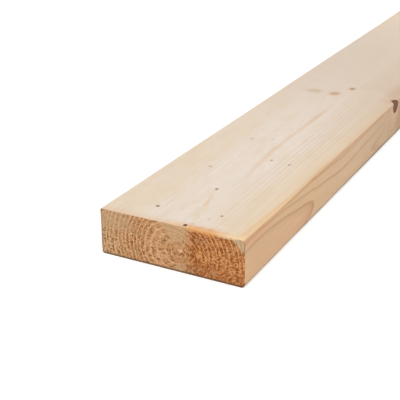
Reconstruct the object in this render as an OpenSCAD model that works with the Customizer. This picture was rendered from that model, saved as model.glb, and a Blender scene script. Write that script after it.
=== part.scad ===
// Timber plank: one straight sawn length of construction softwood, with
// square-cut ends and four eased long edges. It lies flat on a wide face.
//
// Frame: the grain runs along Y, the width along X and the thickness along Z.
// The origin is in the middle of the underside.

/* [Plank] */
// Length along the grain, from cut end to cut end
plank_length = 1800; // [600:100:6000]
// Width of the two wide faces, corner roundings included
plank_width = 145; // [70:5:300]
// Thickness from the underside to the top face
plank_thickness = 45; // [22:1:100]
// Radius that eases each of the four long edges
edge_radius = 4; // [1:0.5:10]

/* [Hidden] */

// Segments in a full circle
$fn = 64;

// Places of the four rounding centres, seen along the grain
centre_x = plank_width / 2 - edge_radius;
centre_z_low = edge_radius;
centre_z_high = plank_thickness - edge_radius;

// Cross-section, with x across the width and y up from the underside
module eased_section() {
    // Full width between the roundings
    translate([-plank_width / 2, centre_z_low])
        square([plank_width, centre_z_high - centre_z_low]);
    // Full thickness between the roundings
    translate([-centre_x, 0])
        square([2 * centre_x, plank_thickness]);
    for (x = [-centre_x, centre_x], y = [centre_z_low, centre_z_high])
        translate([x, y])
            circle(r = edge_radius);
}

// The section is drawn upright and run along the grain, centred on the origin
module plank() {
    color([0.87, 0.76, 0.62])
        translate([0, plank_length / 2, 0])
            rotate([90, 0, 0])
                linear_extrude(height = plank_length)
                    eased_section();
}

plank();
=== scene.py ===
"""Looks of a sawn softwood plank: one solid piece of wood, lying flat on a pale floor.

Everything about the wood is worked out in millimetres in the plank's own frame: x across the
width, y along the grain from the front end, z up from the underside. The same formulas, written
once as functions that add nodes, give the growth rings and knots to the mesh's relief (geometry
nodes) and to the material (shader nodes), so ridges and colours lie in the same places.
"""

import math

import bpy
import numpy as np
from mathutils import Matrix, Vector


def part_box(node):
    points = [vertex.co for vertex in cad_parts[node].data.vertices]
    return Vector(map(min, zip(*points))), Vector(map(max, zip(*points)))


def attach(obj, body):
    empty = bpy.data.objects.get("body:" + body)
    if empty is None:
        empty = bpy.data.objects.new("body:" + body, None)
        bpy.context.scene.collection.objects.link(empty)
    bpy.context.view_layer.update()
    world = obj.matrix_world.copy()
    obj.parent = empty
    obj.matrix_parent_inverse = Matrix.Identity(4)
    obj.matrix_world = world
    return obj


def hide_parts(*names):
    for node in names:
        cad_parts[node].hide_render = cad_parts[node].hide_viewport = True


MM = 0.001

# ---------------------------------------------------------------- the plank's own sizes, in mm
# Places of the mesh's lines in from a long edge, then the pitch over the rest of a face.
EDGE_LINES = (0.0, 0.5, 1.1, 1.8, 2.6, 3.5, 4.5, 5.6)
FACE_PITCH = 1.15
# Steps along the grain grow from the first to the longest, from each end to the middle.
FIRST_STEP, LONGEST_STEP, STEP_GROWTH = 0.5, 9.5, 1.16
# Radii of the long edges: bottom left, top left, bottom right, top right. They wander a little, by
# waves along the grain, each as (height, length over 2 pi, share of the edge's own phase).
EDGE_RADII = (2.6, 2.4, 4.3, 2.9)
EDGE_WAVES = ((0.2, 61, 1.0), (0.12, 23, 2.3), (0.08, 9.1, 1.0))
EDGE_PHASE = 2.1
# The top right edge is rounder beside the front end and sharper a little behind it, as
# (y, change of radius).
CORNER_WEAR = ((0, 2.1), (20, 1.0), (50, 0.0), (85, -1.1), (200, -1.1), (290, 0.0), (1800, 0.0))
# The saw leaves a small broken bevel round each end.
END_BEVEL = 0.3
# The front end's top edge is worn round on its right, as (x, radius), and so is its left edge
# near the top, as (z, radius).
FRONT_TOP_WEAR = ((-72, 0.5), (4, 0.7), (16, 2.0), (30, 2.3), (44, 1.9), (56, 2.5), (72, 3.2))
FRONT_LEFT_WEAR = ((8, 0.3), (22, 1.6), (36, 2.4), (45, 2.6))
# From this radius on the top edge is ragged too, by waves across the plank.
RAGGED_FROM = 1.5
RAGGED_WAVES = ((0.3, 2.3, 0.0), (0.25, 0.9, 1.0))
# The front end's top right corner is crushed to a shallow slanted face.
CRUSH_POINT = (58.6, 0.0, 44.8)
CRUSH_NORMAL = (0.16, -0.97, 0.16)
CRUSH_SOFTNESS, LEAST_CRUSH = 0.12, 0.01
# Depths of the relief: on the ends, and then on the long faces.
PIT_DEPTH, LUMP_DEPTH, SAW_LINE_DEPTH = 0.22, 0.25, 0.03
HOLLOW_DEPTH, KNOT_DEPTH = 0.35, 0.2
# Heights of the finer relief, which is bump: on the ends, and then on the long faces.
TORN_HEIGHT, TORN_PIT_DEPTH = 0.4, 0.3
FIBRE_HEIGHT, LATE_WOOD_HEIGHT = 0.07, 0.04
# Faces that meet at more than this many degrees meet in a sharp edge.
SHARP_FROM = 25

# ---------------------------------------------------------------- the wood's figure, in mm
# Where the pith runs: (y, x, z) along the grain.
PITH = ((0, 9.5, 19.0), (150, 8.5, 18.6), (400, 9.5, 18.8), (700, 5.0, 22.0), (1050, 12.0, 27.0),
        (1400, 16.0, 21.0), (1800, 8.0, 15.0))
# Growth rings as (radius, number). They are widest in the middle years, and on the tree's left.
GROWTH = ((0, 5), (3, 6), (6.5, 7), (10, 8), (14.5, 9), (18, 10), (22, 11), (25.5, 12), (29.5, 13),
          (33, 14), (37.3, 15), (41, 16), (45, 17), (49, 18), (54, 19), (58.5, 20), (62, 21),
          (65.3, 22), (67.3, 23), (70.5, 24), (73, 25), (75.5, 26), (90, 31))
# The mean width of a ring.
RING_WIDTH = 3.9
# How much further out the rings lie left of the pith, and the radius at which they do so in full.
LEFT_SWELL, LEFT_SWELL_REACH = 13.5, 42.0
# How far the rings dip in from the right edge face, as (y, dip).
EDGE_DIP = ((0, 0.6), (12, 0.1), (25, -0.2), (40, -0.25), (60, -0.15), (80, 0.1), (100, 0.62),
            (120, 1.07), (135, 1.36), (141, 1.55), (145, 1.67), (149, 1.72), (154, 2.05),
            (165, 2.22), (190, 2.6), (210, 3.1), (230, 3.33), (300, 3.25), (345, 3.08), (358, 2.85),
            (367, 2.35), (373, 1.6), (378, 0.7), (386, 0.1), (400, 0.0), (500, 1.0), (700, 3.0),
            (900, 4.6), (1150, 0.5), (1450, 4.0), (1800, 1.0))
# How far they dip in from the left edge face, as (y, dip). Each dip shows there as a long tongue.
LEFT_DIP = ((0, 0.0), (40, 0.0), (110, 1.6), (190, 4.6), (300, 0.8), (420, -1.2), (560, 2.0),
            (700, 5.4), (860, 1.0), (1050, -2.0), (1230, 2.6), (1400, 5.8), (1600, 1.2),
            (1800, -1.0))
# How far they bulge again towards the bottom right edge, as (y, bulge).
FOOT_BULGE = ((0, 1.0), (60, 1.2), (105, 1.75), (128, 1.8), (136, 1.55), (142, 1.4), (148, 1.05),
              (156, 0.9), (175, 1.2), (210, 1.9), (300, 1.5), (330, 1.72), (338, 1.95), (346, 2.15),
              (360, 2.3), (368, 2.7), (380, 2.5), (420, 1.0), (700, 0.0), (1800, 0.0))
# How the rings wander, as (size of the noise, its detail, how far).
RING_WANDER = (((42, 420, 42), 1, 2.4), ((7, 120, 7), 2, 1.1))

# A knot's width at the pith as a share of its width on the surface, how much longer it looks along
# the grain, how far it starts nearer the front in its own radii, and how far the rings bulge round
# it and how wide, in its own radii.
KNOT_AT_PITH = 0.35
KNOT_STRETCH = 1.2
KNOT_LEAN = 0.25
KNOT_PUSH, KNOT_PUSH_WIDTH = 0.9, 2.3
# Knots as (x, y, z, radius, darkness): each runs from the pith to that point on the surface.
PIN_KNOTS = (
    (13.8, 4.7, 45, 1.75, 1.0), (-27.8, 27.5, 45, 1.35, 0.95), (33.7, 34, 45, 1.2, 0.75),
    (27.0, 23.5, 45, 1.2, 0.2), (2.2, 83.5, 45, 1.5, 0.85), (-30.2, 130, 45, 1.5, 0.45),
    (18.0, 171, 45, 1.5, 0.65), (39.0, 167, 45, 1.3, 0.65), (-5.8, 226, 45, 1.4, 0.3),
    (-27.5, 218, 45, 1.7, 0.35),
)
WHORL_KNOTS = (
    (-30.5, 404.5, 45, 6.2, 0.25), (-4.4, 404, 45, 6.2, 0.38), (8.7, 430.3, 45, 4.0, 0.5),
    (72.5, 405, 39, 8.0, 1.0), (-72.5, 420, 16, 6.5, 0.7), (20, 402, 0, 6.0, 0.6),
    (-40, 868, 45, 6.5, 0.65), (30, 880, 45, 7.5, 0.8), (72.5, 862, 18, 6.0, 0.8),
    (-20, 874, 0, 7.0, 0.7),
    (2, 1282, 45, 6.0, 0.7), (52, 1270, 45, 4.5, 0.5), (-72.5, 1290, 26, 7.5, 0.9),
    (34, 1276, 0, 6.5, 0.7),
    (-34, 1660, 45, 7.0, 0.75), (72.5, 1648, 25, 6.5, 0.8), (-4, 1655, 0, 6.0, 0.6),
)

# The orange streak on the top face, as (y, x).
STREAK = ((0, 24.0), (111, 16.9), (136, 12.4), (166, 10.1), (211, 7.9), (263, 8.6), (324, 9.3),
          (400, 10.3))
# The two ends of a short resin streak on the top face, as (x, y).
RESIN_STREAK = ((3.0, 77.0), (10.5, 46.0))
# Torn cells of the end grain: how many there are in a ring's width, their size round the ring and
# along the grain, how far they waver, and how random they are. Dashes lie among them.
CELLS_IN_RING, CELL_LENGTH, CELL_DEPTH = 1.95, 2.0, 50.0
CELL_WAVER_REACH, CELL_RANDOMNESS = 1.6, 0.85
DASHES_IN_RING = 1.9
# Where the end grain's orange right part begins, in x, and how far its eye round the pith reaches.
RIGHT_PART = (14.0, 23.5)
EYE_RADII = (13.5, 10.0)
# How strongly arcs, dashes and fine mottling show in the end grain.
ARC_CONTRAST, DASH_CONTRAST, FINE_CONTRAST = 0.62, 0.55, 1.1
# Single dark pits and bright splinters on the front end, as (x, z, radius).
END_PITS = (
    (12.3, 18.7, 1.2), (6.6, 19.4, 0.8), (-38.0, 24.7, 1.0), (-37.2, 28.3, 0.9), (-69.0, 23.5, 0.9),
    (-69.2, 18.8, 1.0), (-68.9, 15.5, 0.9), (-62.1, 18.6, 0.9), (-61.9, 14.2, 0.8),
    (-59.2, 15.6, 0.8), (-53.0, 10.4, 1.0), (-29.4, 16.2, 1.0), (-28.1, 11.4, 0.9),
    (-4.5, 28.0, 0.9),
)
END_SPLINTERS = ((11.0, 21.3, 1.3), (8.9, 22.2, 0.8), (-39.4, 26.7, 0.9))

# ---------------------------------------------------------------- colours
# A tone is an 8-bit colour, or (first, second, ramp) for one that changes from first to second.
# A ramp is (field, low, high): it rises smoothly from 0 where the field is low to 1 where it is
# high, or from least to most where it is (field, low, high, least, most). A ramp of a field alone
# is the field itself. A tint is (what it is, tone, strength, ramps ...): its share is its strength
# times its ramps. Tints lie over each other in order.
ALONG_TOP = ("y", 120, 400)
TOP = ((228, 210, 188), (230, 216, 203), ("patches", 0.45, 0.75))
TOP_TINTS = (
    ("mottling", (226, 201, 174), 0.45, ("mottle", 0.45, 0.75)),
    ("blotches", (220, 206, 178), 1.0, ("blotches", 0.46, 0.7), ("y", 90, 20, 0.3, 0.6)),
    # Greyer wood beyond the first knots, and painted shade: the top darkens from y = 180 to 540,
    # away from the front.
    ("greyer wood beyond the first knots", (213, 195, 176), 1.0, ("greyer",), ("y", 950, 600)),
    ("late wood, clearest right of the pith", (204, 166, 128), 1.0, ("late lines",),
     ("beside pith", 9, 24), ("x", -4, 30, 0.3, 0.9), ("y", 40, 170, 0.25, 1.0)),
    ("browner right half", (212, 190, 166), 0.4, ("x", 10, 50), ("y", 150, 380), ("y", 950, 600)),
    ("warm band along the right edge", ((229, 202, 166), (210, 182, 148), ALONG_TOP), 0.5,
     ("band x", 46, 70), ("y", 1100, 200)),
    ("warmer rim of that edge", ((226, 186, 138), (206, 180, 148), ALONG_TOP), 0.65,
     ("rim x", 68, 72), ("y", 1100, 100)),
    ("pinker wood round that edge's knot", (200, 166, 142), 0.55, ("knot x", 40, 66),
     ("swirling y", 410, 424), ("y", 520, 450)),
    ("orange streak along the pith", (214, 168, 122), 1.0, ("streak",), ("y", 100, 150),
     ("y", 385, 325)),
    ("resin streak", (222, 186, 140), 0.45, ("resin", 2.6, 0.8), ("y", 82, 56)),
    ("torn front edge, orange on its right half", (214, 142, 78), 0.9, ("torn y", 9.5, 2),
     ("x", 12, 20), ("x", 62, 44)),
    ("warm band behind that edge",
     (((228, 190, 156), (227, 177, 119), ("x", -20, 20)), (236, 206, 162), ("x", 36, 56)), 1.0,
     ("y", 13, 0), ("x", -10, 40, 0.6, 0.95)),
)
SIDE = ((216, 179, 140), (208, 179, 149), ("y", 40, 400))
SIDE_TINTS = (
    ("pinker inside the tongue", (211, 163, 127), 1.0, ("ring", 22.06, 21.9),
     ("y", 105, 148, 0.3, 0.75), ("y", 330, 260)),
    ("pinker above, by the front", (214, 164, 130), 0.7, ("z", 33, 36), ("y", 90, 20)),
    ("lighter below, by the front", (217, 176, 133), 0.6, ("z", 30, 20), ("y", 45, 0)),
    ("mottling", (204, 168, 126), 0.25, ("mottle", 0.35, 0.75)),
    ("dark fibres", (190, 152, 112), 0.2, ("fibres", 0.42, 0.72)),
    ("light fibres", (226, 190, 156), 0.24, ("fibres", 0.5, 0.3)),
    ("late wood", (168, 118, 78), 1.0, ("side lines",)),
    # Partly greyer wood, partly painted shade: the edge faces darken by the first knots, away from
    # the front.
    ("greyer by the first knots", (194, 162, 130), 0.6, ("y", 270, 360), ("y", 900, 600)),
    ("darker round the first edge knot", (178, 138, 104), 0.6, ("uneven y", 398, 424),
     ("y", 560, 450)),
    # Painted shade: a browner band on the edge faces just under the rounded top edges.
    ("browner right under the top edge", (190, 140, 98), 0.4, ("z", 39.5, 43)),
)
LONG_TINTS = (
    # Painted shade: a grey band along the top left edge, where its rounding turns away from the
    # light.
    ("grey rim of the top left edge", (198, 184, 166), 0.5, ("x", -70.6, -72), ("z", 41.4, 43.2),
     ("y", 900, 500)),
    # Painted contact shadow: the long faces darken just above the floor, higher further back.
    ("dirt on the lower edges", (116, 98, 84), 1.0, ("off middle", 66, 69.5), ("dirt z", 4.4, 2.2),
     ("y", 60, 330, 0.6, 0.85)),
    ("fine streaks", (196, 160, 122), 0.15, ("streaks", 0.4, 0.8)),
)
# Tones of the knots, first of the small ones and then of the large ones.
LARGE_FAINT_KNOT = ((211, 190, 161), (218, 182, 146), ("darkness", 0.25, 0.4))
KNOT_TONES = {
    "heart": ((142, 106, 82), (124, 82, 54), ("large",)),
    "rings": ((108, 74, 58), (92, 54, 31), ("large",)),
    "rim": ((98, 60, 42), (96, 54, 38), ("large",)),
    "halo": ((222, 182, 150), (210, 174, 150), ("large",)),
    "faint": ((206, 188, 164), LARGE_FAINT_KNOT, ("large",)),
    "darkest": (112, 52, 24),
}

# The end grain's middle colour, and the pale and the dark one that it goes to with end_tone.
END_MIDDLE = ((194, 144, 99), (191, 148, 98), ("hue", 0.42, 0.66))
END_MIDDLE_TINTS = (
    ("lighter left end", (197, 156, 113), 0.8, ("x", -44, -56)),
    ("browner left part", (188, 134, 86), 0.8, ("left part",)),
    ("lighter middle part", (204, 153, 108), 0.8, ("middle part",)),
    ("orange right part", (183, 119, 67), 1.0, ("right",)),
    ("smooth places", ((191, 153, 113), (196, 156, 114), ("wedge",)), 1.0, ("calm",)),
    ("round the pith", (186, 130, 84), 0.8, ("eye",)),
)
END_PALE = (223, 177, 134)
END_PALE_TINTS = (
    ("orange right part", (218, 155, 99), 1.0, ("right",)),
    ("smooth places", (222, 186, 146), 1.0, ("calm",)),
)
END_DARK = ((140, 88, 44), (144, 101, 46), ("hue", 0.42, 0.66))
END_DARK_TINTS = (
    ("orange right part", (134, 72, 22), 1.0, ("right",)),
    ("smooth places", (146, 102, 62), 1.0, ("calm",)),
)
RIGHT_SHADE = ("browner by the pith and below", (148, 84, 36), 1.0, ("right",), ("shade",))
PIT_TONE, SPLINTER_TONE = (112, 66, 30), (243, 208, 170)
MARK_STRENGTH = 0.85
# Worn and crushed places on the ends, with painted shade on the left edge and a painted contact
# shadow along the bottom edge.
WEAR_AND_SHADE_TINTS = (
    ("worn top edge", ((222, 158, 98), (232, 196, 152), ("x", 42, 54)), 0.8,
     ("worn z", 42.2, 43.8), ("x", 14, 21)),
    ("crushed corner, with fine lines and a darker outer edge",
     (((201, 172, 132), (166, 140, 106), ("lines", 0.35, 0.65)), (138, 118, 96),
      ("outer x", 70.4, 72.2, 0, 0.6)), 0.9, ("crushed", 0.02, 0.3)),
    # Painted shade: a dark band down the left edge of the ends; the top left corner is darker too.
    ("greyed left edge and top left corner", (132, 112, 86), 1.0, ("greyed",)),
    # Painted contact shadow: a dark line along the ends' bottom edge.
    ("dirty bottom edge", (88, 68, 50), 0.8, ("dirt z", 2.8, 1.4)),
)

# Fields that the tints go by. Noises are (size, detail, roughness). Places made uneven by one of
# the noises are (axis, how far in mm). Bells are (axis, middle, width).
LONG_NOISES = {
    "patches": ((70, 220, 70), 2, 0.5), "mottle": ((14, 40, 14), 3, 0.6),
    "blotches": ((7, 15, 7), 2, 0.6), "fibres": ((1.8, 70, 1.8), 3, 0.65),
    "streaks": ((1.3, 110, 1.3), 2, 0.6), "torn": ((5, 6, 5), 3, 0.7),
}
UNEVEN_BY_MOTTLE = {"band x": ("x", 8), "rim x": ("x", 4), "knot x": ("x", 16),
                    "uneven y": ("y", 20), "dirt z": ("z", 1.6)}
LONG_BELLS = {"pinkest": ("x", -6, 34), "swirl": ("x", 5, 60), "clearest": ("y", 270, 85),
              "reddest": ("y", 308, 26), "higher": ("y", 165, 85)}
END_NOISES = {
    "soft": ((13, 30, 13), 2, 0.6), "wavy": ((5, 12, 5), 2, 0.6),
    "fine": ((1.3, 6, 1.3), 2, 0.7), "hue": ((6, 30, 6), 2, 0.5),
}
UNEVEN_BY_FINE = {"worn z": ("z", 3), "outer x": ("x", 2), "left x": ("x", 1.5), "dirt z": ("z", 2)}
END_BELLS = {"left part": ("x", -37, 13), "middle part": ("x", -13, 11)}

# Single noises, as (size, detail, roughness): of the relief, the end grain's torn cells and dashes,
# the crushed corner's lines, the bump, the knots and the shine.
LUMPS = ((7, 7, 7), 2, 0.5)
HOLLOWS = ((30, 260, 30), 2, 0.5)
CELL_WAVER = ((5, 40, 5), 1, 0.5)
DASHES = ((1, 1, 1), 2, 0.6)
CRUSH_LINES = ((1.1, 9, 7), 1, 0.5)
FINE_FIBRES = ((0.9, 22, 0.9), 2, 0.5)
TORN_FIBRES = ((1.1, 1.1, 1.4), 3, 0.6)
KNOT_GRAIN = ((2.2, 5, 2.2), 2, 0.5)
SHINE = ((4, 40, 4), 2, 0.5)
# The wood's roughness, how much it varies and how much rougher the ends are, and its specular.
WOOD_ROUGHNESS, ROUGHNESS_CHANGE, END_ROUGHNESS = 0.54, 0.16, 0.2
WOOD_SPECULAR = 0.25
BUMP_STRENGTH = 0.6

# Gap between the pieces of the bake's map, as a share of its width.
MAP_GAP = 0.003

# ---------------------------------------------------------------- the studio
# The camera's azimuth, elevation and roll in degrees, its sensor and lens in mm, and its place in
# mm from the bottom middle of the front end.
CAMERA_ANGLES = (29.614, 24.464, -1.449)
CAMERA_SENSOR, CAMERA_LENS = 36.0, 77.96
CAMERA_PLACE = (352.8, -565.3, 369.6)
WHITE = (1, 1, 1, 1)
# The sky is white near the horizon and dimmer overhead, and changes at these shares of its height.
SKY_LOW, SKY_HIGH = 1.0, 0.62
SKY_CHANGE = (0.1, 0.3)
# Suns: name, strength, width in degrees, tilt from straight down, turn about the vertical.
SUNS = (("key", 1.25, 60, 38, 55), ("fill", 0.5, 90, 50, -20))
# The floor: half its side in metres, its colour, roughness and glow.
FLOOR_HALF = 30.0
FLOOR_COLOUR = (0.8, 0.8, 0.8, 1)
FLOOR_ROUGHNESS = 0.9
FLOOR_GLOW = 0.35


def rgb(red, green, blue):
    """An opaque linear colour from 8-bit display values."""
    shares = (red / 255, green / 255, blue / 255)
    linear = (s / 12.92 if s <= 0.04045 else ((s + 0.055) / 1.055) ** 2.4 for s in shares)
    return (*linear, 1.0)


def placed(name, data):
    """A new object in the scene."""
    made = bpy.data.objects.new(name, data)
    bpy.context.scene.collection.objects.link(made)
    return made


# ---------------------------------------------------------------- formulas as nodes
class Num:
    """A number in a node tree. Arithmetic on it adds Math nodes."""

    def __init__(self, graph, socket):
        self.graph, self.socket = graph, socket

    def __add__(self, other):
        return self.graph.math("ADD", self, other)

    def __sub__(self, other):
        return self.graph.math("SUBTRACT", self, other)

    def __mul__(self, other):
        return self.graph.math("MULTIPLY", self, other)

    def __truediv__(self, other):
        return self.graph.math("DIVIDE", self, other)

    def __rsub__(self, other):
        return self.graph.math("SUBTRACT", other, self)

    __radd__ = __add__


class Graph:
    """Adds nodes to a shader or geometry tree, and hands back their outputs."""

    def __init__(self, tree):
        self.tree = tree

    def node(self, kind, *values, **settings):
        """A new node with these settings, and values or links for its first inputs."""
        made = self.tree.nodes.new(kind)
        for name, value in settings.items():
            setattr(made, name, value)
        for value, socket in zip(values, made.inputs):
            self.put(value, socket)
        return made

    def put(self, value, socket):
        if isinstance(value, Num):
            value = value.socket
        if isinstance(value, bpy.types.NodeSocket):
            self.tree.links.new(value, socket)
        else:
            socket.default_value = value

    def fill(self, made, inputs):
        """Puts values or links into a node's inputs, by name or number."""
        for name, value in inputs.items():
            self.put(value, made.inputs[name])

    def math(self, operation, *values):
        return Num(self, self.node("ShaderNodeMath", *values, operation=operation).outputs[0])

    def smooth(self, value, low, high):
        """0 below low, 1 above high and a smooth step between, or the reverse where low > high."""
        made = self.node("ShaderNodeMapRange", value, low, high, interpolation_type="SMOOTHSTEP")
        return Num(self, made.outputs[0])

    def bell(self, value, width):
        """1 where value is 0, falling off as a bell over width."""
        share = value / width
        return self.math("EXPONENT", share * share * -1.0)

    def split(self, vector):
        return [Num(self, out) for out in self.node("ShaderNodeSeparateXYZ", vector).outputs]

    def distance(self, x, z):
        """How far (x, z) is from (0, 0)."""
        return self.math("SQRT", x * x + z * z)

    def join(self, x, y, z):
        return self.node("ShaderNodeCombineXYZ", x, y, z).outputs[0]

    def vector(self, operation, *values, output=0):
        out = self.node("ShaderNodeVectorMath", *values, operation=operation).outputs[output]
        return Num(self, out) if out.type == "VALUE" else out

    def scaled(self, vector, number):
        made = self.node("ShaderNodeVectorMath", vector, operation="SCALE")
        self.put(number, made.inputs["Scale"])
        return made.outputs[0]

    def noise(self, place, size, detail, roughness=0.5):
        """Noise from 0 to 1, with features of size = (x, y, z) mm."""
        made = self.node("ShaderNodeTexNoise")
        self.fill(made, {"Vector": self.vector("DIVIDE", place, size), "Scale": 1.0,
                         "Detail": detail, "Roughness": roughness})
        return Num(self, made.outputs[0])

    def chance(self, number):
        """A steady random share from 0 to 1 for each whole number."""
        made = self.node("ShaderNodeTexWhiteNoise", noise_dimensions="1D")
        self.put(number, made.inputs["W"])
        return Num(self, made.outputs[0])

    def along(self, y, points):
        """A smooth curve through (y, value) points."""
        lows, highs = min(v for _, v in points), max(v for _, v in points)
        last = points[-1][0]
        made = self.node("ShaderNodeFloatCurve")
        curve = made.mapping.curves[0]
        for at, value in points[1:-1]:
            curve.points.new(at / last, (value - lows) / (highs - lows))
        curve.points[0].location = (0, (points[0][1] - lows) / (highs - lows))
        curve.points[-1].location = (1, (points[-1][1] - lows) / (highs - lows))
        made.mapping.update()
        self.put(y / last, made.inputs["Value"])
        return Num(self, made.outputs[0]) * (highs - lows) + lows

    def blend(self, share, low, high):
        """Mixes two colours."""
        made = self.node("ShaderNodeMix", data_type="RGBA")
        # The Mix node's sockets for its factor and for two colours.
        self.fill(made, {0: share, 6: low, 7: high})
        return made.outputs[2]


# ---------------------------------------------------------------- the wood
def pith_at(y):
    """The pith's (x, z) at y, on straight lines between its points."""
    ys, xs, zs = zip(*PITH)
    return float(np.interp(y, ys, xs)), float(np.interp(y, ys, zs))


def knot_field(g, place):
    """How near the knots are: the least distance in knot radii, that knot's darkness, and how far
    they push the growth rings outwards, in mm."""
    nearest, darkness, push = None, None, None
    for x, y, z, radius, dark in PIN_KNOTS + WHORL_KNOTS:
        pith_x, pith_z = pith_at(y)
        start = Vector((pith_x, y - KNOT_LEAN * radius, pith_z))
        way = Vector((x, y, z)) - start
        reach = way.length
        way.normalize()
        away = g.vector("SUBTRACT", place, tuple(start))
        depth = g.vector("DOT_PRODUCT", away, tuple(way), output=1)
        aside = g.vector("SUBTRACT", away, g.scaled(way, depth))
        # The radius is the knot's on its face, where it is a little longer along the grain.
        facing = max(abs(way.x), abs(way.z))
        aside = g.vector("MULTIPLY", aside, (1.0, facing / KNOT_STRETCH, 1.0))
        distance = g.vector("LENGTH", aside, output=1)
        width = (depth * ((1 - KNOT_AT_PITH) / reach) + KNOT_AT_PITH) * (radius * facing)
        # On the other side of the pith, where the knot isn't, it counts as 30 radii further away.
        shares = distance / g.math("MAXIMUM", width, 0.05) + g.smooth(depth, 4.0, 0.0) * 30.0
        near = g.bell(shares, KNOT_PUSH_WIDTH) * (KNOT_PUSH * radius * (0.4 + 0.6 * dark))
        if nearest is None:
            nearest, darkness, push = shares, g.math("ADD", dark, 0.0), near
        else:
            closer = g.math("LESS_THAN", shares, nearest)
            darkness = darkness + closer * (dark - darkness)
            nearest = g.math("MINIMUM", nearest, shares)
            push = push + near
    return nearest, darkness, push


def ring_field(g, place):
    """The growth ring number at a place, with its fraction rising from the light early wood to the
    dark late wood, how far round its ring the place lies in mm from level with the pith, and the
    knots' distance and darkness."""
    x, y, z = g.split(place)
    nearest, darkness, push = knot_field(g, place)
    off_x = x - g.along(y, [(at, px) for at, px, _ in PITH])
    off_z = z - g.along(y, [(at, pz) for at, _, pz in PITH])
    radius = g.distance(off_x, off_z)
    leftness = g.smooth(off_x / g.math("MAXIMUM", radius, 1.0), 0.55, -1.0)
    swell = g.smooth(radius, 0.0, LEFT_SWELL_REACH) * leftness * LEFT_SWELL
    dip = g.along(y, EDGE_DIP) * g.smooth(x, 15.0, 72.0)
    dip = dip - g.along(y, FOOT_BULGE) * g.smooth(x, 50.0, 70.0) * g.smooth(z, 30.0, 5.0)
    dip = dip + g.along(y, LEFT_DIP) * g.smooth(x, -45.0, -72.0)
    # The rings wander, but less by the right edge face near the front.
    free = g.math("MAXIMUM", g.smooth(x, 50.0, 20.0), g.smooth(y, 430.0, 560.0)) * 0.95 + 0.05
    broad, fine = [(g.noise(place, size, detail) - 0.5) * far for size, detail, far in RING_WANDER]
    grown = radius - swell + dip + (broad + fine) * free - push
    ring = g.along(grown, GROWTH)
    inner = radius - g.math("FRACT", ring) * RING_WIDTH
    around = g.math("ARCTAN2", off_z, g.math("ABSOLUTE", off_x)) * inner
    return ring, around, nearest, darkness


FIGURE_OUTPUTS = ("Ring", "Around", "Knot", "Knot Darkness")
GROUP_NODES = {"ShaderNodeTree": "ShaderNodeGroup", "GeometryNodeTree": "GeometryNodeGroup"}


def figure_group(kind):
    """The growth rings and knots at a place in mm, as a group for shader or geometry nodes."""
    group = bpy.data.node_groups.new("figure_" + kind, kind)
    group.interface.new_socket("Place", in_out="INPUT", socket_type="NodeSocketVector")
    for output in FIGURE_OUTPUTS:
        group.interface.new_socket(output, in_out="OUTPUT", socket_type="NodeSocketFloat")
    g = Graph(group)
    place = g.node("NodeGroupInput").outputs[0]
    g.node("NodeGroupOutput", *ring_field(g, place))
    return group


def figure(g, place):
    """The figure group's outputs at a place."""
    kind = g.tree.bl_idname
    tree = bpy.data.node_groups.get("figure_" + kind) or figure_group(kind)
    made = g.node(GROUP_NODES[kind])
    made.node_tree = tree
    g.put(place, made.inputs[0])
    return [Num(g, made.outputs[name]) for name in FIGURE_OUTPUTS]


def late_wood(g, ring, start, full):
    """0 in early wood and 1 in late wood, which starts and is full at these fractions of a ring and
    ends with it."""
    share = g.math("FRACT", ring)
    return g.smooth(share, start, full) * g.smooth(share, 1.0, 0.94)


# ---------------------------------------------------------------- the mesh
def lines_across(size):
    """Places of the mesh's lines from 0 to size: close at both edges, even between them, and one
    in the middle."""
    first = EDGE_LINES[-1]
    pairs = round((size - 2 * first) / FACE_PITCH / 2)
    even = np.linspace(first, size - first, 2 * pairs + 1)
    return np.concatenate([EDGE_LINES[:-1], even, size - np.array(EDGE_LINES[-2::-1])])


def lines_along(length):
    """Stations from end to end, whose steps grow from each end to the middle."""
    steps = [FIRST_STEP]
    while sum(steps) < length / 2:
        steps.append(min(steps[-1] * STEP_GROWTH, LONGEST_STEP))
    half = np.concatenate([[0.0], np.cumsum(steps)]) * (length / 2 / sum(steps))
    return np.concatenate([half, length - half[-2::-1]])


def waves(at, rows, phase=1.0):
    """A sum of sine waves, from rows of (height, length over 2 pi, share of the phase)."""
    return sum(height * np.sin(at / length + share * phase) for height, length, share in rows)


def edge_radius(x, y, z, size):
    """The rounding of the long edge nearest to each point, which wanders along the grain."""
    edge = 2 * (x > 0) + (z > size[2] / 2)
    corner = (edge == 3) * np.interp(y, *zip(*CORNER_WEAR))
    return np.array(EDGE_RADII)[edge] + waves(y, EDGE_WAVES, EDGE_PHASE * edge) + corner


def round_edge(points, faces, radius):
    """Rounds the edge where two faces of the box meet, each given as (axis, place, way in)."""
    out = np.clip([radius - (points[:, axis] - place) * way for axis, place, way in faces], 0, None)
    moves = out * (1 - out.max(0) / np.maximum(np.hypot(*out), 1e-9))
    for (axis, _, way), move in zip(faces, moves):
        points[:, axis] += way * move


def wear_edges(box, size):
    """Rounds the box's long edges, and wears the front end's top edge and left edge."""
    points = box.copy()
    x, y, z = box.T
    left, right = (0, -size[0] / 2, 1), (0, size[0] / 2, -1)
    bottom, top = (2, 0, 1), (2, size[2], -1)
    radius = edge_radius(x, y, z, size)
    for faces in ((left, bottom), (left, top), (right, bottom), (right, top)):
        round_edge(points, faces, radius)
    front = (1, 0, 1)
    top_wear = np.interp(x, *zip(*FRONT_TOP_WEAR))
    round_edge(points, (front, top), top_wear + waves(x, RAGGED_WAVES) * (top_wear > RAGGED_FROM))
    round_edge(points, (front, left), np.interp(z, *zip(*FRONT_LEFT_WEAR)))
    return points


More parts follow.
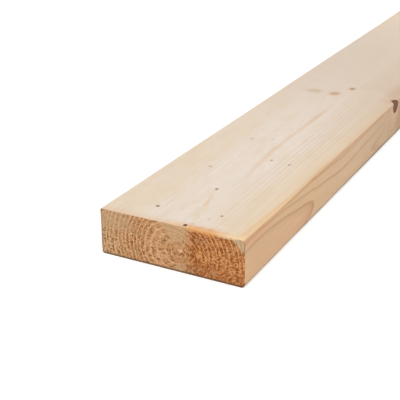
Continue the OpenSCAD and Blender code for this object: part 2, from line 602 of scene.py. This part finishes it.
def crush_corner(points):
    """Presses the worn corner back to a soft slanted face, and says how far each point went."""
    normal = np.array(CRUSH_NORMAL) / np.linalg.norm(CRUSH_NORMAL)
    proud = (points - CRUSH_POINT) @ normal
    pressed = CRUSH_SOFTNESS * np.logaddexp(0, proud / CRUSH_SOFTNESS)
    pressed[pressed < LEAST_CRUSH] = 0
    return points - pressed[:, None] * normal, pressed


def unroll(mesh, box, faces, side, size):
    """A map for baking. The four long faces are unrolled and cut at half length into two strips,
    and the two ends lie beside each other above them, at a larger scale."""
    width, length, thick = size
    girth = 2 * (width + thick)
    x, y, z = (box[faces][:, :, axis] for axis in range(3))
    side = side[:, None]
    left, far = (x.mean(1) < 0)[:, None], (y.mean(1) > length / 2)[:, None]
    places = [np.where(left, girth + x, x), width + thick - x, 1.5 * width + 2 * thick - z]
    around = np.select([side == "bottom", side == "top", side == "left"], places, width / 2 + z)
    scale = (1 - 2 * MAP_GAP) / (length / 2)
    strip = girth * scale + MAP_GAP
    u = MAP_GAP + np.where(far, y - length / 2, y) * scale
    v = MAP_GAP + around * scale + far * strip
    end_scale = min((1 - 2 * strip - 2 * MAP_GAP) / thick, (1 - 3 * MAP_GAP) / 2 / width)
    end_u = MAP_GAP + (x + width / 2) * end_scale + (side == "far") * (width * end_scale + MAP_GAP)
    end_v = MAP_GAP + 2 * strip + z * end_scale
    at_end = np.isin(side, ("front", "far"))
    uv = np.stack([np.where(at_end, end_u, u), np.where(at_end, end_v, v)], -1)
    mesh.uv_layers.new(name="OFBake").uv.foreach_set("vector", uv.astype(np.float32).ravel())


def plank_mesh(size):
    """A closed box of quads with its long edges rounded, in the plank's own mm."""
    xs = lines_across(size[0]) - size[0] / 2
    ys, zs = lines_along(size[1]), lines_across(size[2])
    shape = (len(xs), len(ys), len(zs))
    index = np.indices(shape)
    on_side = [(at == 0) | (at == count - 1) for at, count in zip(index, shape)]
    shell = on_side[0] | on_side[1] | on_side[2]
    number = np.full(shape, -1)
    number[shell] = np.arange(shell.sum())
    i, j, k = (at[shell] for at in index)
    box = np.stack([xs[i], ys[j], zs[k]], 1)
    at_end = on_side[1][shell]
    rim = at_end & (on_side[0] | on_side[2])[shell]

    points = wear_edges(box, size)
    points[:, 1] += rim * END_BEVEL * np.where(box[:, 1] < size[1] / 2, 1, -1)
    points, pressed = crush_corner(points)

    # Each side of the box, and whether its grid runs clockwise seen from outside.
    sides = {"bottom": (number[:, :, 0], True), "top": (number[:, :, -1], False),
             "left": (number[0], True), "right": (number[-1], False),
             "front": (number[:, 0], False), "far": (number[:, -1], True)}
    faces, side = [], []
    for name, (grid, clockwise) in sides.items():
        a, b, c, d = grid[:-1, :-1], grid[1:, :-1], grid[1:, 1:], grid[:-1, 1:]
        quads = np.stack([a, d, c, b] if clockwise else [a, b, c, d], -1).reshape(-1, 4)
        faces.append(quads)
        side.append(np.full(len(quads), name))
    faces, side = np.concatenate(faces), np.concatenate(side)

    mesh = bpy.data.meshes.new("plank")
    mesh.from_pydata(points.tolist(), [], faces.tolist())
    unroll(mesh, box, faces, side, size)
    for title, values in (("end_grain", at_end.astype(float)), ("crushed", pressed)):
        mesh.attributes.new(title, "FLOAT", "POINT").data.foreach_set("value", values)
    mesh.polygons.foreach_set("use_smooth", np.ones(len(faces), bool))
    return mesh


# ---------------------------------------------------------------- relief in the mesh
def named_number(g, name):
    """A number that the mesh holds at each vertex."""
    if g.tree.bl_idname == "GeometryNodeTree":
        made = g.node("GeometryNodeInputNamedAttribute", data_type="FLOAT")
        made.inputs["Name"].default_value = name
        return Num(g, made.outputs[0])
    return Num(g, g.node("ShaderNodeAttribute", attribute_name=name).outputs["Fac"])


def end_cells(g, ring, around, place):
    """The torn fibres of the end grain as cells, lined up round the rings: the distance from each
    cell's middle in cells, and a random share for the cell."""
    made = g.node("ShaderNodeTexVoronoi", feature="F1", distance="EUCLIDEAN")
    waver = (g.noise(place, *CELL_WAVER) - 0.5) * CELL_WAVER_REACH
    inward = g.split(place)[1] / CELL_DEPTH
    cell = g.join(ring * CELLS_IN_RING + waver, around / CELL_LENGTH + waver, inward)
    g.fill(made, {"Vector": cell, "Scale": 1.0, "Randomness": CELL_RANDOMNESS})
    return Num(g, made.outputs["Distance"]), g.split(made.outputs["Color"])[0]


def end_dots(g, ring, around, place):
    """Dark torn pits of the end grain."""
    distance, share = end_cells(g, ring, around, place)
    return g.smooth(distance + share * 0.14, 0.5, 0.26)


def relief_group():
    """Geometry nodes that press the mesh in along its normals, and never out of its box."""
    group = bpy.data.node_groups.new("plank_relief", "GeometryNodeTree")
    group.interface.new_socket("Geometry", in_out="INPUT", socket_type="NodeSocketGeometry")
    group.interface.new_socket("Geometry", in_out="OUTPUT", socket_type="NodeSocketGeometry")
    g = Graph(group)
    place = g.node("GeometryNodeInputPosition").outputs[0]
    x, _, z = g.split(place)
    ring, around, knot, darkness = figure(g, place)
    end = named_number(g, "end_grain")
    # Ends: torn pits, and the slightly slanted lines that the saw blade leaves.
    lumps = g.noise(place, *LUMPS)
    saw_lines = g.math("SINE", (x + z * 0.22) * 2.1 + lumps * 5.0) * SAW_LINE_DEPTH + SAW_LINE_DEPTH
    on_end = end_dots(g, ring, around, place) * PIT_DEPTH + lumps * LUMP_DEPTH + saw_lines
    # Long faces: planed nearly flat, with soft hollows along the grain and sunken knots.
    hollows = g.noise(place, *HOLLOWS) * HOLLOW_DEPTH
    sunk = g.smooth(knot, 1.15, 0.9) * darkness * KNOT_DEPTH
    depth = end * on_end + (1.0 - end) * (hollows + sunk)
    inward = g.scaled(g.node("GeometryNodeInputNormal").outputs[0], depth * -1.0)
    moved = g.node("GeometryNodeSetPosition")
    g.fill(moved, {"Geometry": g.node("NodeGroupInput").outputs[0], "Offset": inward})
    g.node("NodeGroupOutput", moved.outputs[0])
    return group


def applied(piece):
    """Gives a piece the mesh that its modifiers make, and removes them."""
    graph = bpy.context.evaluated_depsgraph_get()
    made = piece.evaluated_get(graph)
    mesh = bpy.data.meshes.new_from_object(made, preserve_all_data_layers=True, depsgraph=graph)
    piece.modifiers.clear()
    piece.data = mesh


def build_plank(size, front):
    """The plank as one piece: box, relief, then into the frame in metres."""
    piece = placed("plank_wood", plank_mesh(size))
    piece.data.set_sharp_from_angle(angle=math.radians(SHARP_FROM))
    piece.modifiers.new("relief", "NODES").node_group = relief_group()
    applied(piece)
    piece.data.transform(Matrix.Translation(front) @ Matrix.Scale(MM, 4))
    piece.data.materials.append(softwood(front))
    return piece


# ---------------------------------------------------------------- the material
def ramp(g, fields, name, low=None, high=None, least=0.0, most=1.0):
    """A field itself, or its smooth change from least at low to most at high."""
    if low is None:
        return fields[name]
    rise = g.smooth(fields[name], low, high)
    return rise if (least, most) == (0.0, 1.0) else rise * (most - least) + least


def tone_of(g, fields, tone):
    """The colour of a tone, which may change from a first tone to a second with a ramp."""
    if not isinstance(tone[0], tuple):
        return rgb(*tone)
    first, second, change = tone
    tones = [tone_of(g, fields, end) for end in (first, second)]
    return g.blend(ramp(g, fields, *change), *tones)


def tinted(g, fields, colour, *tints):
    """A colour with tints laid over it in order."""
    for _, tone, share, *ramps in tints:
        for each in ramps:
            share = ramp(g, fields, *each) * share
        colour = g.blend(share, colour, tone_of(g, fields, tone))
    return colour


def softwood(front):
    """Bare spruce: pale and planed on top, warmer on the edge faces, rough and brown on the
    ends."""
    material = bpy.data.materials.new("softwood")
    material.use_nodes = True
    material.node_tree.nodes.clear()
    g = Graph(material.node_tree)
    from_front = g.vector("SUBTRACT", g.node("ShaderNodeTexCoord").outputs["Object"], tuple(front))
    place = g.vector("DIVIDE", from_front, (MM, MM, MM))
    ring, around, knot, darkness = figure(g, place)
    end = named_number(g, "end_grain")

    long_colour = add_knots(g, place, long_faces(g, place, ring), knot, darkness)
    end_colour = end_faces(g, place, ring, around)

    roughness = g.noise(place, *SHINE) * ROUGHNESS_CHANGE + WOOD_ROUGHNESS + end * END_ROUGHNESS
    height = surface_height(g, place, ring, around, end)
    bump = g.node("ShaderNodeBump")
    g.fill(bump, {"Strength": BUMP_STRENGTH, "Distance": MM, "Height": height})
    shader = g.node("ShaderNodeBsdfPrincipled")
    g.fill(shader, {
        "Base Color": g.blend(end, long_colour, end_colour), "Roughness": roughness,
        "Specular IOR Level": WOOD_SPECULAR, "Normal": bump.outputs[0],
    })
    g.node("ShaderNodeOutputMaterial", shader.outputs[0])
    return material


def surface_height(g, place, ring, around, end):
    """Fine relief for the bump, in mm: raised late wood and fibres on the long faces, and torn
    fibres and pits on the ends."""
    raised = late_wood(g, ring, 0.55, 0.9) * LATE_WOOD_HEIGHT
    fibres = g.noise(place, *FINE_FIBRES) * FIBRE_HEIGHT
    torn = g.noise(place, *TORN_FIBRES) * TORN_HEIGHT
    torn = torn - end_dots(g, ring, around, place) * TORN_PIT_DEPTH
    return (raised + fibres) * (1.0 - end) + torn * end


def planed(g, fields):
    """1 on the top and 0.6 on the underside, which are bleached, and 0 on the edge faces. The pale
    top ends a little higher up along a stretch of the right edge."""
    z = fields["z"]
    higher = fields["higher"] * g.smooth(fields["x"], 50.0, 70.0) * 0.8
    return g.smooth(z - higher, 43.0, 44.4) + g.smooth(z, 2.0, 0.4) * 0.6


def table_fields(g, place, noises, bells, uneven_by, uneven):
    """The fields that the tables give: places in mm, noises, bells, and uneven places."""
    fields = dict(zip("xyz", g.split(place)))
    fields |= {name: g.noise(place, *how) for name, how in noises.items()}
    for name, (axis, middle, width) in bells.items():
        fields[name] = g.bell(fields[axis] - middle, width)
    for name, (axis, far) in uneven.items():
        fields[name] = fields[axis] + (fields[uneven_by] - 0.5) * far
    return fields


def long_fields(g, place, ring):
    """What the long faces' tints go by: places in mm, noises, and shares from 0 to 1."""
    fields = table_fields(g, place, LONG_NOISES, LONG_BELLS, "mottle", UNEVEN_BY_MOTTLE)
    x, y = fields["x"], fields["y"]

    # The grain swirls round the first knots. Beyond them the wood is greyer for a while, and from y
    # = 180 to 540 it darkens as painted shade away from the front.
    swirl = g.smooth(x, 52.0, 74.0) * 14.0 - fields["swirl"] * 6.0
    beyond = g.smooth(fields["uneven y"] + swirl, 410.0, 436.0) * g.smooth(x, -12.0, 24.0)
    greyer = g.math("MAXIMUM", beyond * 0.85, g.smooth(y, 180.0, 540.0) * 0.75)

    # Some lines of late wood are stronger than others. Over the pith the rings lie flat under the
    # top, so the lines fade there, and they are clearest a little right of it.
    strength = g.chance(g.math("FLOOR", ring)) * 0.7 + 0.3
    clearness = fields["clearest"] * g.smooth(x, 12.0, 24.0) * 0.24 + 0.34
    side_lines = late_wood(g, ring, 0.7, 0.96) * 0.35 + late_wood(g, ring, 0.46, 0.95) * 0.22
    pith_x = g.along(y, [(at, px) for at, px, _ in PITH])
    redness = fields["reddest"] * 0.25 + 0.32
    return fields | {
        "ring": ring,
        "patches": fields["patches"] + fields["pinkest"] * 0.22,
        "greyer": greyer,
        "late lines": late_wood(g, ring, 0.5, 0.92) * strength * clearness,
        "side lines": side_lines * (strength * 0.3 + 0.7),
        "beside pith": g.math("ABSOLUTE", x - pith_x),
        "off middle": g.math("ABSOLUTE", x),
        "rim x": fields["rim x"] + g.smooth(y, 130.0, 0.0) * 5.0,
        "swirling y": y + swirl,
        "torn y": y + (fields["torn"] - 0.5) * 24.0,
        # The painted contact shadow on the lower edges reaches higher further back.
        "dirt z": fields["dirt z"] - g.smooth(y, 60.0, 330.0) * 1.4,
        "streak": g.bell(x - g.along(y, STREAK), 2.5) * redness,
        "resin": segment_distance(g, x, y, *RESIN_STREAK),
    }


def long_faces(g, place, ring):
    """The colour along the grain."""
    fields = long_fields(g, place, ring)
    top = tinted(g, fields, tone_of(g, fields, TOP), *TOP_TINTS)
    side = tinted(g, fields, tone_of(g, fields, SIDE), *SIDE_TINTS)
    return tinted(g, fields, g.blend(planed(g, fields), side, top), *LONG_TINTS)


def segment_distance(g, x, y, start, end):
    """Distance in mm from a line between two (x, y) points, seen from above."""
    run_x, run_y = end[0] - start[0], end[1] - start[1]
    off_x, off_y = x - start[0], y - start[1]
    share = (off_x * run_x + off_y * run_y) / (run_x ** 2 + run_y ** 2)
    share = g.math("MINIMUM", g.math("MAXIMUM", share, 0.0), 1.0)
    return g.distance(off_x - share * run_x, off_y - share * run_y)


def add_knots(g, place, colour, knot, darkness):
    """Knots: faint ones melt into the wood, and dark ones have a rim and a ringed heart. The pin
    knots are the ones before the first large knots."""
    grain = g.noise(place, *KNOT_GRAIN)
    ringed = g.math("SINE", knot * 13.0 + grain * 5.0) * 0.5 + 0.5
    large = g.smooth(g.split(place)[1], 240.0, 300.0)
    fields = {"large": large, "darkness": darkness}
    tones = {part: tone_of(g, fields, tone) for part, tone in KNOT_TONES.items()}
    heart = g.blend(ringed * 0.45, tones["heart"], tones["rings"])
    darkest = (1.0 - large) * g.smooth(darkness, 0.96, 1.0)
    heart = g.blend(darkest, heart, tones["darkest"])
    dark = g.smooth(darkness - (1.0 - large) * 0.1, 0.1, 1.0)
    rim = g.smooth(knot, 0.66, 0.95) * g.smooth(darkness, 0.5, 1.0)
    inside = g.blend(rim, g.blend(dark, tones["faint"], heart), tones["rim"])
    around = g.smooth(knot, 2.4, 1.0) * darkness * (large * 0.3 + 0.25)
    colour = g.blend(around, colour, tones["halo"])
    wobble = knot + (grain - 0.5) * 0.4
    there = g.smooth(wobble, 1.45 - darkness * 0.35, 0.3 + darkness * 0.6)
    return g.blend(there, colour, inside)


def end_fields(g, place):
    """What the end grain's tints go by: places in mm, noises, and shares from 0 to 1."""
    fields = table_fields(g, place, END_NOISES, END_BELLS, "fine", UNEVEN_BY_FINE)
    x, y, z = (fields[axis] for axis in "xyz")
    soft, wavy, fine = (fields[name] - 0.5 for name in ("soft", "wavy", "fine"))
    drift = soft * 14.0
    # The part right of the pith is orange and full of pits. A wedge above the pith and its foot
    # below are smooth, and so is the top left corner. The wood close round the pith is the eye.
    right = g.smooth(x + drift * 0.4 + wavy * 14.0 - (z - 20.0) * 0.08, *RIGHT_PART)
    top_left = g.smooth(x + drift, -28.0, -50.0) * g.smooth(z + drift, 21.0, 33.0)
    above = g.math("ABSOLUTE", x - 6.5 + drift * 0.3) - (z - 22.0) * 0.6
    below = g.math("ABSOLUTE", x - 12.0 + drift * 0.3) + (z - 16.0) * 0.25
    foot = g.smooth(below, 8.0, 2.0) * g.smooth(z, 17.0, 12.0)
    wedge = g.math("MAXIMUM", g.smooth(above, 5.0, -3.0), foot) * (1.0 - right)
    _, pith_x, pith_z = PITH[0]
    eye = g.smooth(g.distance(x - pith_x, z - pith_z), *EYE_RADII) * g.smooth(z, 31.0, 24.0)
    eye = eye * (1.0 - right)
    # Painted shade along the left edge, and a darker top left corner.
    left_edge_shade = g.smooth(fields["left x"], -70.0, -71.6) * 0.7
    dark_corner = g.smooth(x - z + fine * 2.0, -111.5, -113.5) * 0.9
    leaning = g.join(x + z * 0.45, y, z)
    return fields | {
        "right": right,
        "wedge": wedge,
        "eye": eye,
        "calm": g.math("MAXIMUM", wedge, top_left) * (1.0 - eye * 0.6),
        "low": g.smooth(z + drift, 34.0, 14.0),
        "shade": g.smooth(x, 40.0, 22.0) * 0.18 + g.smooth(z, 20.0, 8.0) * 0.14 + 0.03,
        "lines": g.noise(leaning, *CRUSH_LINES),
        "crushed": named_number(g, "crushed") + soft * 0.6 + fine * 0.5,
        "greyed": g.math("MAXIMUM", left_edge_shade, dark_corner),
    }


def end_tone(g, place, ring, around, fields):
    """The end grain's tone, from dark below 0 to light above it: thin pale arcs where one ring
    meets the next, dashes and torn pits along the rings between them, and fine mottling."""
    x, y, z, right, calm, low = (fields[name] for name in ("x", "y", "z", "right", "calm", "low"))
    fine = fields["fine"] - 0.5
    share = g.math("FRACT", ring)
    band = g.smooth(share, 0.1, 0.34) * g.smooth(share, 1.04, 0.86)
    inner = g.smooth(ring, 12.5, 8.5) * (1.0 - right)
    arcs = (0.66 - band) * (1.0 - calm * 0.3) * (1.0 - inner * 0.45)
    arcs = arcs * (1.0 + right * (0.35 - low * 0.95))

    dash_length = 2.4 + right * (2.2 - low * 0.9)
    along = g.join(ring * DASHES_IN_RING, around / dash_length, y / CELL_DEPTH)
    dashes = g.smooth(g.noise(along, *DASHES), 0.34, 0.66) - 0.5

    # Each torn cell is pale at its edge and dark in its middle, most so just right of the pith.
    distance, chance = end_cells(g, ring, around, place)
    torn = distance + fine * 0.5
    rough = right * g.smooth(x, 42.0, 24.0)
    pits = g.smooth(torn, 0.5, 0.84) * (0.35 + right * 0.4 + rough * 0.35)
    pits = pits - g.smooth(torn + chance * 0.16, 0.58, 0.26) * (1.0 + rough * 0.35)
    pitted = right * 0.85 + (1.0 - right) * (0.3 + band * 0.3 + low * 0.25)
    pitted = pitted * (1.0 - calm * 0.7) * (1.0 - inner * 0.3)

    darker = right * (g.smooth(x, 36.0, 22.0) + g.smooth(z, 18.0, 8.0) * 0.6) * 0.22
    dashes = dashes * (DASH_CONTRAST - calm * 0.15 - right * 0.1)
    return arcs * ARC_CONTRAST + dashes + pits * pitted + fine * FINE_CONTRAST - darker


def end_faces(g, place, ring, around):
    """The colour of the sawn end grain: grey-brown left of the pith, orange-brown and full of pits
    right of it, and smooth along a wedge up from the pith."""
    fields = end_fields(g, place)
    middle = tinted(g, fields, tone_of(g, fields, END_MIDDLE), *END_MIDDLE_TINTS)
    pale = tinted(g, fields, rgb(*END_PALE), *END_PALE_TINTS)
    dark = tinted(g, fields, tone_of(g, fields, END_DARK), *END_DARK_TINTS)
    tone = end_tone(g, place, ring, around, fields)
    colour = g.blend(g.smooth(tone, -0.02, 0.7), middle, pale)
    colour = g.blend(g.smooth(tone, 0.0, -0.75), colour, dark)
    colour = tinted(g, fields, colour, RIGHT_SHADE)
    colour = end_marks(g, place, colour, END_PITS, PIT_TONE)
    colour = end_marks(g, place, colour, END_SPLINTERS, SPLINTER_TONE)
    return tinted(g, fields, colour, *WEAR_AND_SHADE_TINTS)


def end_marks(g, place, colour, marks, tone):
    """Single marks on the front end, which go some way in along the grain."""
    for x, z, radius in marks:
        away = g.vector("MULTIPLY", g.vector("SUBTRACT", place, (x, 0, z)), (1.0, 0.05, 1.0))
        there = g.smooth(g.vector("LENGTH", away, output=1), radius * 1.3, radius * 0.5)
        colour = g.blend(there * MARK_STRENGTH, colour, rgb(*tone))
    return colour


# ---------------------------------------------------------------- the studio
def set_up_camera(front):
    """The photograph's view: its place is measured from the front end's bottom middle."""
    camera = placed("camera", bpy.data.cameras.new("camera"))
    bpy.context.scene.camera = camera
    camera.data.sensor_width, camera.data.lens = CAMERA_SENSOR, CAMERA_LENS
    azimuth, elevation, roll = (math.radians(a) for a in CAMERA_ANGLES)
    turn = (Matrix.Rotation(azimuth, 4, "Z") @ Matrix.Rotation(math.pi / 2 - elevation, 4, "X")
            @ Matrix.Rotation(roll, 4, "Z"))
    camera.matrix_world = Matrix.Translation(front + Vector(CAMERA_PLACE) * MM) @ turn
    camera.data.clip_start, camera.data.clip_end = 0.05, 100


def set_up_light():
    """An even white sky, and two broad soft suns."""
    scene = bpy.context.scene
    scene.view_settings.view_transform = "Standard"
    world = bpy.data.worlds.new("studio")
    scene.world = world
    world.use_nodes = True
    g = Graph(world.node_tree)
    height = g.split(g.node("ShaderNodeTexCoord").outputs["Generated"])[2]
    glow = g.smooth(height, *SKY_CHANGE) * (SKY_HIGH - SKY_LOW) + SKY_LOW
    g.fill(world.node_tree.nodes["Background"], {"Color": WHITE, "Strength": glow})
    for name, strength, spread, tilt, turn in SUNS:
        data = bpy.data.lights.new(name, "SUN")
        data.energy, data.angle = strength, math.radians(spread)
        placed(name, data).rotation_euler = (math.radians(tilt), 0, math.radians(turn))


def set_up_floor():
    """A pale floor that glows a little for the camera."""
    mesh = bpy.data.meshes.new("floor")
    corners = [(x * FLOOR_HALF, y * FLOOR_HALF, 0) for x, y in ((-1, -1), (1, -1), (1, 1), (-1, 1))]
    mesh.from_pydata(corners, [], [(0, 1, 2, 3)])
    floor = placed("floor", mesh)
    material = bpy.data.materials.new("pale_floor")
    material.use_nodes = True
    # The floor looks white in the picture, without lighting the wood from below as much.
    g = Graph(material.node_tree)
    seen = Num(g, g.node("ShaderNodeLightPath").outputs["Is Camera Ray"])
    g.fill(material.node_tree.nodes["Principled BSDF"], {
        "Base Color": FLOOR_COLOUR, "Roughness": FLOOR_ROUGHNESS, "Specular IOR Level": 0.0,
        "Emission Color": WHITE, "Emission Strength": seen * FLOOR_GLOW,
    })
    mesh.materials.append(material)


# ---------------------------------------------------------------- the part in its frame
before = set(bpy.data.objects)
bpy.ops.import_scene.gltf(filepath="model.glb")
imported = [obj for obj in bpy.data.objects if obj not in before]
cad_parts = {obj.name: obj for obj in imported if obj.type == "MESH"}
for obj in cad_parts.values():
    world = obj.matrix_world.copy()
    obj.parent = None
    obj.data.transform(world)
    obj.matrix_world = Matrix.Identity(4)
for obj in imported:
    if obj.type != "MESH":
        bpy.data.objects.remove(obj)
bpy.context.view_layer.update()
low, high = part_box("plank")
front_end = Vector(((low.x + high.x) / 2, low.y, low.z))

set_up_camera(front_end)
set_up_light()
set_up_floor()
wood = build_plank(tuple((high - low) / MM), front_end)
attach(wood, "root")
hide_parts("plank")
